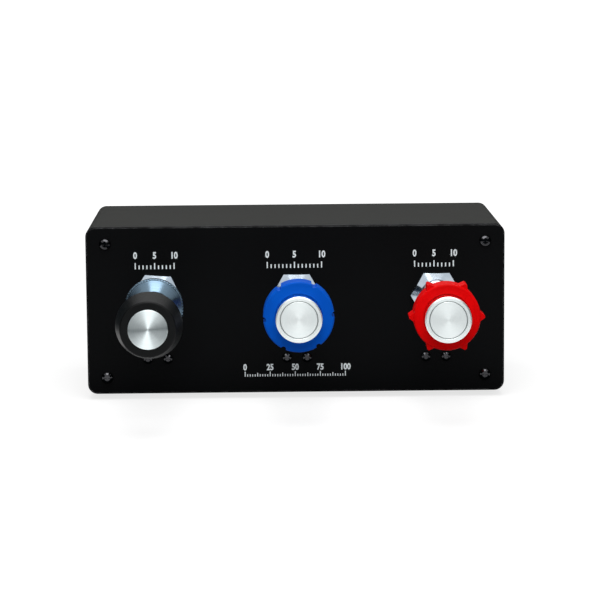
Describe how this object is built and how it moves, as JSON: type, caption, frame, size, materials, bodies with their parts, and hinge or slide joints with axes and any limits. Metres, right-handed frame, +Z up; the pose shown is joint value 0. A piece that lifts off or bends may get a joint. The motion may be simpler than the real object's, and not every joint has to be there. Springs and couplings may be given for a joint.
{
  "type": "throttle quadrant",
  "caption": "Desktop box with push-pull throttle, propeller and mixture controls; propeller and mixture have vernier knobs with sprung release buttons.",
  "frame": {"origin": "on the table plane, under the centre of the enclosure", "axes": "+X to the pilot's right, +Y away from the pilot, +Z up; the front panel faces -Y"},
  "size_m": [0.216, 0.2116, 0.09],
  "materials": {
    "enclosure_paint": "satin black powder coat",
    "panel_paint": "satin black powder coat",
    "black_steel": "black zinc plated steel",
    "zinc_nut": "bright zinc plate, turned face",
    "zinc_wheel": "bright plate, knurled rim",
    "turned_steel": "turned and plated",
    "shaft_steel": "ground and polished",
    "spun_aluminium": "spun face, fine turning lines",
    "black_knob": "grained moulding with a satin flank",
    "blue_knob": "satin moulding",
    "red_knob": "satin moulding",
    "foot_rubber": "soft moulded rubber",
    "circuit_board": "green solder mask",
    "chip_epoxy": "moulded epoxy",
    "tinned_steel": "tinned sheet",
    "black_plastic": "moulded insert",
    "white_plastic": "moulded nylon",
    "lead_sleeve": "soft PVC sleeve",
    "brass_post": "turned brass",
    "alloy_block": "machined",
    "spring_steel": "bright spring steel",
    "plated_sheet": "zinc plated sheet",
    "track_board": "phenolic board"
  },
  "bodies": {
    "enclosure": {"enclosure_body": "enclosure_paint", "front_panel": "panel_paint", "panel_screws": "black_steel", "rubber_feet": "foot_rubber", "controller_board": "circuit_board", "board_standoffs": "brass_post", "board_screws": "plated_sheet", "microcontroller_chip": "chip_epoxy", "usb_socket_shell": "tinned_steel", "usb_socket_insert": "black_plastic", "lead_headers": "white_plastic", "throttle_pot_lead": "lead_sleeve", "prop_pot_lead": "lead_sleeve", "mixture_pot_lead": "lead_sleeve", "throttle_barrel": "turned_steel", "prop_barrel": "turned_steel", "mixture_barrel": "turned_steel", "throttle_nut": "zinc_nut", "prop_nut": "zinc_nut", "mixture_nut": "zinc_nut", "barrel_lock_washers": "spring_steel", "throttle_friction_collet": "brass_post", "throttle_pot_case": "plated_sheet", "prop_pot_case": "plated_sheet", "mixture_pot_case": "plated_sheet", "throttle_pot_track": "track_board", "prop_pot_track": "track_board", "mixture_pot_track": "track_board", "throttle_bracket": "plated_sheet", "prop_bracket": "plated_sheet", "mixture_bracket": "plated_sheet", "bracket_screws": "black_steel", "bracket_nuts": "plated_sheet", "pot_screws": "plated_sheet"},
    "throttle_plunger": {"throttle_shaft": "shaft_steel", "throttle_knob": "black_knob", "throttle_knob_disc": "spun_aluminium", "throttle_shaft_clips": "spring_steel", "throttle_coupling": "alloy_block", "throttle_pot_slider": "white_plastic"},
    "throttle_wheel": {"throttle_friction_wheel": "zinc_wheel"},
    "prop_carriage": {"prop_coupling": "alloy_block", "prop_pot_slider": "white_plastic"},
    "prop_vernier": {"prop_shaft": "shaft_steel", "prop_knob": "blue_knob", "prop_shaft_clips": "spring_steel", "prop_button_spring": "spring_steel"},
    "prop_release": {"prop_button": "spun_aluminium", "prop_release_rod": "shaft_steel"},
    "mixture_carriage": {"mixture_coupling": "alloy_block", "mixture_pot_slider": "white_plastic"},
    "mixture_vernier": {"mixture_shaft": "shaft_steel", "mixture_knob": "red_knob", "mixture_shaft_clips": "spring_steel", "mixture_button_spring": "spring_steel"},
    "mixture_release": {"mixture_button": "spun_aluminium", "mixture_release_rod": "shaft_steel"}
  },
  "joints": [
    {"name": "throttle_slide", "type": "slide", "parent": "enclosure", "child": "throttle_plunger", "axis": [0, -1, 0], "range_m": [-0.033, 0.027]},
    {"name": "throttle_friction_turn", "type": "hinge", "parent": "enclosure", "child": "throttle_wheel", "pos_m": [-0.0715, -0.051, 0.0538], "axis": [0, -1, 0], "range_deg": [-120, 120]},
    {"name": "prop_slide", "type": "slide", "parent": "enclosure", "child": "prop_carriage", "axis": [0, -1, 0], "range_m": [-0.0335, 0.0265]},
    {"name": "prop_vernier_turn", "type": "hinge", "parent": "prop_carriage", "child": "prop_vernier", "pos_m": [0.0005, -0.051, 0.0538], "axis": [0, -1, 0], "continuous": true},
    {"name": "prop_button_press", "type": "slide", "parent": "prop_vernier", "child": "prop_release", "axis": [0, 1, 0], "range_m": [0, 0.004], "stiffness_N_per_m": 400, "springref_m": -0.005, "deforming": ["prop_button_spring"]},
    {"name": "mixture_slide", "type": "slide", "parent": "enclosure", "child": "mixture_carriage", "axis": [0, -1, 0], "range_m": [-0.0385, 0.0215]},
    {"name": "mixture_vernier_turn", "type": "hinge", "parent": "mixture_carriage", "child": "mixture_vernier", "pos_m": [0.0725, -0.051, 0.0538], "axis": [0, -1, 0], "continuous": true},
    {"name": "mixture_button_press", "type": "slide", "parent": "mixture_vernier", "child": "mixture_release", "axis": [0, 1, 0], "range_m": [0, 0.004], "stiffness_N_per_m": 400, "springref_m": -0.005, "deforming": ["mixture_button_spring"]}
  ]
}
